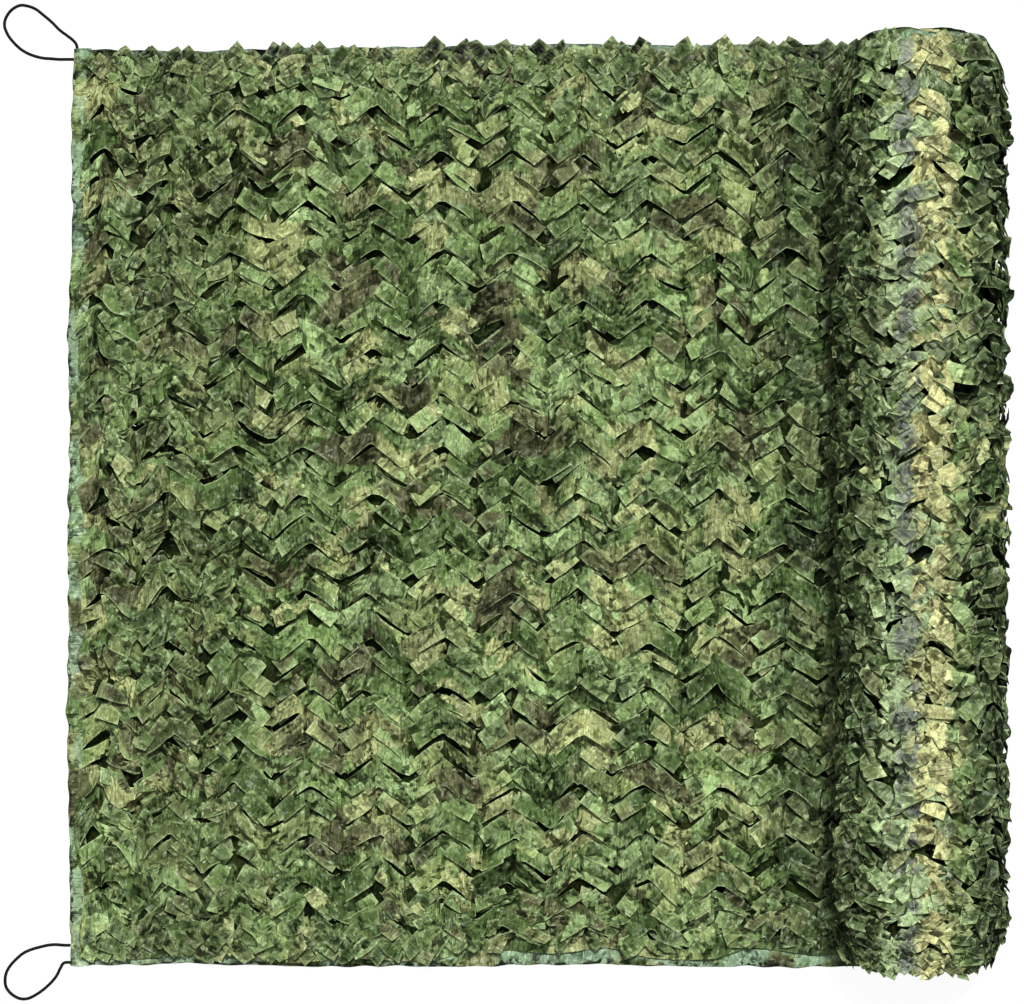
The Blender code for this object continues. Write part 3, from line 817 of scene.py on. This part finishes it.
def build_laid_net(material):
    """The die-cut cloth of the laid part, with its loose leaves."""
    def wild(a, y):
        """It is a third freer towards the laid end."""
        return (1 + 0.35 * np.clip(1.3 - a / 0.33, 0, 1)) * held_by_tapes(a, y)

    slits = Slits(3, 30, tongue=0.015, ribbon=0.004, gape=0.0030)
    part = DieCut(
        along=(END_INSET, LAID_LENGTH),
        columns=20,
        rows=(5, 9, 5),
        seed=11,
        slits=slits,
        wild=wild,
        inset=0.012,
        pitch=0.020,
        roll=0.013,
        pleat=0.007,
        crease=0.015,
        wave=0.003,
        drift=0.009,
    ).joined()
    chance = np.random.default_rng(71)
    arms = arm_middles(0.03, LAID_LENGTH)
    # The leaves are tangled along the laid end and along both sides, and neat between them.
    tangle = np.clip(1.25 - arms[:, 0] / 0.28, 0, 1)
    tangle = np.maximum(tangle, np.clip((np.abs(arms[:, 1]) - 0.62) / 0.06, 0, 1))
    tumbled = []
    for layer, (share, more) in enumerate(LAID_LAYERS):
        chosen = chance.uniform(0, 1, len(arms)) < share + more * tangle
        loose = tangle[chosen]
        neat = arms[chosen]
        middles = strewn(neat, chance, 0.016)
        moved = middles[:, :2] - neat[:, :2]
        middles[:, :2] = neat[:, :2] + moved * (0.15 + 0.85 * loose[:, None])
        # None lies over the end tape, nor past the side tapes.
        middles[:, 0] = np.maximum(middles[:, 0], 0.040 + 0.010 * swell(middles[:, 1], 0, 0.2, 6))
        middles[:, 1] = np.clip(middles[:, 1], -0.720, 0.738)
        lift = 0.003 + (0.003 + 0.004 * layer) * loose
        tilt = 0.30 + 0.24 * loose
        size, tone = 1 - 0.08 * loose, -0.5 * loose
        tumbled.append(leaves(middles, 72 + layer, 0.15 + 0.6 * loose, lift, tilt, size, tone))
    far_edge = edge_middles(0.04, LAID_LENGTH, 0.732, 0.020, 75)
    tumbled.append(leaves(far_edge, 76, 0.25, 0.007, 0.35, 0.90, -1.5))
    near_edge = edge_middles(0.02, 0.60, -0.716, 0.016, 77)
    tumbled.append(leaves(near_edge, 78, 0.35, 0.006, 0.30, 0.90, -0.6))
    part = together([part, *tumbled])
    part["points"] = lay(part["points"], NET_HEIGHT)
    net = add_cloth("laid_net", part, material)
    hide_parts("net_panel")


def build_laid_ply(material):
    """The net's second ply, coloured near black as painted shade, which shows dark through the slits."""
    part = DieCut(
        along=(END_INSET, LAID_LENGTH),
        columns=10,
        rows=(2, 3, 2),
        seed=31,
        slits=Slits(8, 30, tongue=0.001, ribbon=0.0, gape=-0.008),
        wild=held_by_tapes,
        inset=0.007,
        pitch=0.001,
        roll=0.001,
        crease=0.002,
        wave=0.001,
    ).joined()
    part["points"][:, 1] += 0.0145 * (np.abs(part["points"][:, 1]) < 0.70)  # its slits under strips
    part["points"] = lay(part["points"], PLY_HEIGHT)
    part["print"][:, 0] += PLY_PRINT
    ply = add_cloth("laid_net_under", part, material)


def build_outer_turn(material):
    """The roll's last turn, cut and leafed like the laid part, and more tumbled."""
    length = arc_of(1)

    def wild(a, y):
        """It is calm at its two ends and at the tapes."""
        foot = np.clip(np.minimum(a, length - a) / 0.08, 0.12, 1)
        return foot * np.clip((HALF_WIDTH - 0.012 - np.abs(y)) / 0.03, 0.15, 1)

    part = DieCut(
        along=(0.0, length),
        columns=22,
        rows=(5, 9, 5),
        seed=17,
        slits=Slits(5, 30, tongue=0.015, ribbon=0.006, gape=0.009),
        wild=wild,
        inset=0.006,
        pitch=0.018,
        roll=0.010,
        pleat=0.007,
        crease=0.013,
        wave=0.003,
    ).joined()
    part["points"][:, 2] -= 0.008 - 0.006 * on_flank(part["points"][:, 0])
    chance = np.random.default_rng(81)
    arms = arm_middles(0.0, length)
    tumbled = []
    for layer, share in enumerate(WOUND_LAYERS):
        chosen = arms[chance.uniform(0, 1, len(arms)) < share]
        middles = strewn(chosen, chance, 0.024)
        middles[:, 1] = np.clip(middles[:, 1], -0.740, 0.712)
        flank = on_flank(middles[:, 0])
        lift = 0.003 + 0.004 * layer + 0.002 * flank
        tilt = 0.55 - (0.34 - 0.06 * layer) * flank  # flatter there, where the outline shows them
        loose = 0.50 + 0.12 * layer
        # On the right flank the leaves are darker: painted shade.
        tumbled.append(leaves(middles, 82 + layer, loose, lift, tilt, 0.90, -0.3 * flank))
    for seed in (85, 86):
        far_end = edge_middles(0.14, 0.66, 0.718, 0.014, seed)
        right = np.clip((0.36 - far_end[:, 0]) / 0.04, 0, 1)
        # Those over the right flank are much darker: painted shade.
        tilt, tone = 0.25 - 0.05 * right, -0.3 - 2.0 * right
        tumbled.append(leaves(far_end, seed + 2, 0.4, 0.004, tilt, 0.80, tone))
    for seed in (89, 90):
        near_end = edge_middles(0.14, 0.66, -0.736, 0.011, seed)
        tumbled.append(leaves(near_end, seed + 2, 0.5, 0.006, 0.45, 0.68, 0.4))
    part = together([part, *tumbled])
    part["points"] = wind(part["points"])
    turn = add_cloth("outer_turn", part, material)
    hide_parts("net_roll")


def build_inner_turns(material):
    """The wound cloth under the outer turn, down to the core, coloured near black as painted shade."""
    length = arc_of(TURNS) - arc_of(1)
    part = DieCut(
        along=(0.0, length),
        columns=9,
        rows=(2, 3, 2),
        seed=23,
        slits=Slits(6, 60, tongue=0.006, ribbon=0.003, gape=0.003),
        wild=lambda a, y: 1.0 + 0 * a,
        pitch=0.004,
        roll=0.003,
        crease=0.006,
        wave=0.003,
    ).joined()
    part["points"] = wind(part["points"], arc_of(1))
    part["print"][:, 0] += INNER_PRINT
    turns = add_cloth("inner_turns", part, material)


# ---------------------------------------------------------------- tapes and cords

# A tape's section: how far in from its outer fold, and how far up, with the net between.
TAPE_SECTION = (
    (0.030, 0.0100),
    (0.023, 0.0112),
    (0.016, 0.0110),
    (0.010, 0.0102),
    (0.005, 0.0090),
    (0.0015, 0.0072),
    (0.0, 0.0050),
    (0.0015, 0.0026),
    (0.006, 0.0014),
    (0.014, 0.0010),
    (0.022, 0.0010),
    (0.028, 0.0014),
)
TAPE_FLAT_WIDTH = 0.063  # of the tape before it is folded
TAPE_STEP = 0.005
TAPE_PUCKER = 0.0016  # how high the stitching gathers it
TAPE_GAP = 0.0005  # under it
TOP_POINTS = 6  # of the section, those over the net


def tape_part(edge, inward, up, seed, tone=0.0):
    """A folded tape along `edge`, an (n, 3) line: inward and up are its directions there."""
    inn, high = np.array(TAPE_SECTION).T[:, None, :]
    steps = np.linalg.norm(np.diff(edge, axis=0), axis=1)
    s = np.concatenate([[0], np.cumsum(steps)])[:, None]
    reach = inn / inn.max()
    gathers = swell(s, 0 * s, 0.030, seed, 5) + 0.6 * swell(s, 0 * s, 0.011, seed + 1, 5)
    top = np.arange(len(TAPE_SECTION))[None, :] < TOP_POINTS
    high = high + np.where(top, TAPE_PUCKER * gathers * (0.35 + reach), 0.0)
    high = high + 0.4 * TAPE_PUCKER * swell(s, 4 * inn, 0.012, seed + 2) * top
    wander = 0.0012 * swell(s, 0 * s, 0.045, seed + 3)
    inn = inn + wander + 0.0022 * reach * swell(s, inn, 0.05, seed + 4)
    points = edge[:, None] + inn[..., None] * inward[:, None] + high[..., None] * up[:, None]
    points[..., 2] = above(points[..., 2], TAPE_GAP, 0.0006)
    width = np.linspace(0, TAPE_FLAT_WIDTH, len(TAPE_SECTION))[None, :] + 0 * s
    last = len(TAPE_SECTION) - 1
    raw = (np.arange(last + 1)[None, :] % last == 0) + 0 * s
    tone = tone + 0.5 * swell(s, width, 0.06, seed + 5)
    flat = np.stack([s + 0 * width, width + seed, 0 * width], axis=-1).reshape(-1, 3)
    return {
        "points": points.reshape(-1, 3),
        "faces": grid_faces(len(edge), last + 1)[:, ::-1],
        "cloth": flat,
        "print": flat,
        "edge": raw.ravel(),
        "tone": tone.ravel(),
    }


def add_tape(name, part, material, node=None):
    tape = add_cloth(name, part, material, sharp=50.0)
    if node:
        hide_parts(node)


def build_laid_tapes(material):
    up = np.array([0.0, 0.0, 1.0])
    y = evenly(side_face_y(-1, LAID_END_X), side_face_y(1, LAID_END_X), TAPE_STEP)
    edge = np.stack([end_face_x(y), y, 0 * y], axis=1)
    directions = np.tile([[1.0, 0.0, 0.0]], (len(y), 1)), np.tile(up, (len(y), 1))
    add_tape("end_tape_cloth", tape_part(edge, *directions, 41), material, "end_tape")
    for side, label in ((-1, "near"), (1, "far")):
        x = evenly(end_face_x(np.array(side * HALF_WIDTH)) + 0.004, ROLL_X + 0.02, TAPE_STEP)
        edge = np.stack([x, side_face_y(side, x), 0 * x], axis=1)
        directions = np.tile([[0.0, -side, 0.0]], (len(x), 1)), np.tile(up, (len(x), 1))
        part = tape_part(edge, *directions, 43 + side, -2.5 if side > 0 else -0.5)
        add_tape(f"{label}_tape_cloth", part, material, f"{label}_tape")


def build_wound_tapes(material):
    """The side tapes, wound on with the netting to the core."""
    arc = evenly(0.0, arc_of(TURNS), TAPE_STEP)
    turn = turn_of(arc)
    angle = 2 * math.pi * turn - math.pi / 2
    out = np.stack([np.cos(angle), 0 * angle, np.sin(angle)], axis=1)
    for side, label in ((-1, "near"), (1, "far")):
        y = side * (HALF_WIDTH - 0.004 + 0.004 * np.sin(3.1 * angle + side))
        middle = wind(np.stack([arc, y, 0 * arc], axis=1))
        edge = middle - 0.006 * out
        inward = np.tile([[0.0, -side, 0.0]], (len(arc), 1))
        part = tape_part(edge, inward, out, 53 + side)
        add_tape(f"{label}_tape_wound", part, material)


def smooth_path(points, step):
    """Evenly spaced points on a smooth curve through these."""
    points = np.array(points, dtype=float)
    padded = np.vstack([points[:1], points, points[-1:]])
    t = np.linspace(0, 1, 24, endpoint=False)[:, None]
    runs = []
    for a, b, c, d in zip(padded, padded[1:], padded[2:], padded[3:]):
        cubic = 2 * b + (c - a) * t + (2 * a - 5 * b + 4 * c - d) * t**2
        cubic = cubic + (3 * b - a - 3 * c + d) * t**3
        runs.append(0.5 * cubic)
    fine = np.vstack([*runs, points[-1:]])
    s = np.concatenate([[0], np.cumsum(np.linalg.norm(np.diff(fine, axis=0), axis=1))])
    places = evenly(0, s[-1], step)
    return np.stack([np.interp(places, s, fine[:, k]) for k in range(3)], axis=1), s[-1]


def build_loop(name, node, side, route, material):
    """A braided cord that leaves the netting's corner and goes back into it."""
    corner_y = side_face_y(side, LAID_END_X)
    places = []
    for along, across in route:
        y = corner_y + across + side * GAP
        places.append((end_face_x(y) + along - GAP, y, CORD_DIAMETER / 2))
    path, length = smooth_path(places, 0.0008)
    ahead = np.gradient(path, axis=0)
    ahead /= np.linalg.norm(ahead, axis=1)[:, None]
    up = np.array([0.0, 0.0, 1.0])
    left = np.cross(up, ahead)
    sides = 20
    angle = np.linspace(0, 2 * math.pi, sides + 1)[None, :]
    s = np.linspace(0, length, len(path))[:, None]
    strands, lay_length = 5, 0.011
    twist = 2 * math.pi * s / lay_length
    one_way = np.cos(strands * angle + strands * twist)
    ridges = np.maximum(one_way, np.cos(strands * angle - strands * twist))
    radius = CORD_DIAMETER / 2 * (0.93 + 0.07 * ridges)
    ring = np.cos(angle)[..., None] * left[:, None] + np.sin(angle)[..., None] * up
    points = path[:, None] + radius[..., None] * ring
    points[..., 2] = np.maximum(points[..., 2], 0.0002)
    flat = np.stack([s + 0 * angle, angle * CORD_DIAMETER / 2 + 0 * s, 0 * (s + angle)], axis=-1)
    flat = flat.reshape(-1, 3)
    part = {
        "points": points.reshape(-1, 3),
        "faces": grid_faces(len(path), sides + 1),
        "cloth": flat,
        "print": flat,
        "edge": 0 * points[..., 0].ravel(),
        "tone": ridges.ravel(),
    }
    loop = add_cloth(name, part, material, sharp=60.0)
    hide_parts(node)


# ---------------------------------------------------------------- the studio


def build_stage():
    half = 40.0
    mesh = bpy.data.meshes.new("floor")
    corners = [(-half, -half, 0), (half, -half, 0), (half, half, 0), (-half, half, 0)]
    mesh.from_pydata(corners, [], [(0, 1, 2, 3)])
    mesh.materials.append(floor_material())
    floor = bpy.data.objects.new("floor", mesh)
    floor.visible_diffuse = floor.visible_glossy = False  # it throws no light back up
    bpy.context.scene.collection.objects.link(floor)


def build_camera():
    """Straight above, so high that the picture is 1.673 m wide at the floor."""
    data = bpy.data.cameras.new("camera")
    data.sensor_fit = "HORIZONTAL"
    data.sensor_width = 36.0
    camera_height, picture_width = 5.0, 1.673
    data.lens = data.sensor_width * camera_height / picture_width
    camera = bpy.data.objects.new("camera", data)
    camera.location = (-0.0335, 0.0065, camera_height)
    bpy.context.scene.collection.objects.link(camera)
    bpy.context.scene.camera = camera


def add_softbox(name, location, size, power):
    data = bpy.data.lights.new(name, "AREA")
    data.shape = "SQUARE"
    data.size = size
    data.energy = power
    light = bpy.data.objects.new(name, data)
    light.location = location
    light.rotation_euler = (-Vector(location)).to_track_quat("-Z", "Y").to_euler()
    bpy.context.scene.collection.objects.link(light)


def build_lights():
    key = bpy.data.lights.new("key", "SUN")
    key.energy = 4.1
    key.angle = math.radians(10)
    light = bpy.data.objects.new("key", key)
    light.rotation_euler = (math.radians(-26), math.radians(3), 0)
    bpy.context.scene.collection.objects.link(light)
    add_softbox("overhead", (0.0, 0.3, 4.6), 4.0, 114.0)
    world = bpy.data.worlds.new("studio")
    world.use_nodes = True
    world.node_tree.nodes["Background"].inputs["Color"].default_value = (1, 1, 1, 1)
    world.node_tree.nodes["Background"].inputs["Strength"].default_value = 0.08
    bpy.context.scene.world = world
    bpy.context.scene.view_settings.view_transform = "Standard"
    bpy.context.scene.view_settings.gamma = 0.90


build_camera()
build_stage()
build_lights()
face = cloth_material("camo_face", bands=LAID_BANDS)
# The roll's cloth has painted shade down its flanks and a painted highlight over its top, from
# ROLL_BANDS.
roll_face = cloth_material("camo_roll_face", bands=ROLL_BANDS)  # the net's back, printed too
# Near-black painted shade, for the ply under the laid net and the turns inside the roll.
painted_shade_cloth = cloth_material("camo_back", painted_shade=0.09)
build_laid_net(face)
build_laid_ply(painted_shade_cloth)
build_outer_turn(roll_face)
tape = cloth_material("camo_tape", uncut=True)
build_laid_tapes(tape)
build_wound_tapes(tape)
cord = cord_material("loop_cord")
build_loop("far_cord", "far_loop", 1, FAR_LOOP, cord)
build_loop("near_cord", "near_loop", -1, NEAR_LOOP, cord)
build_inner_turns(painted_shade_cloth)
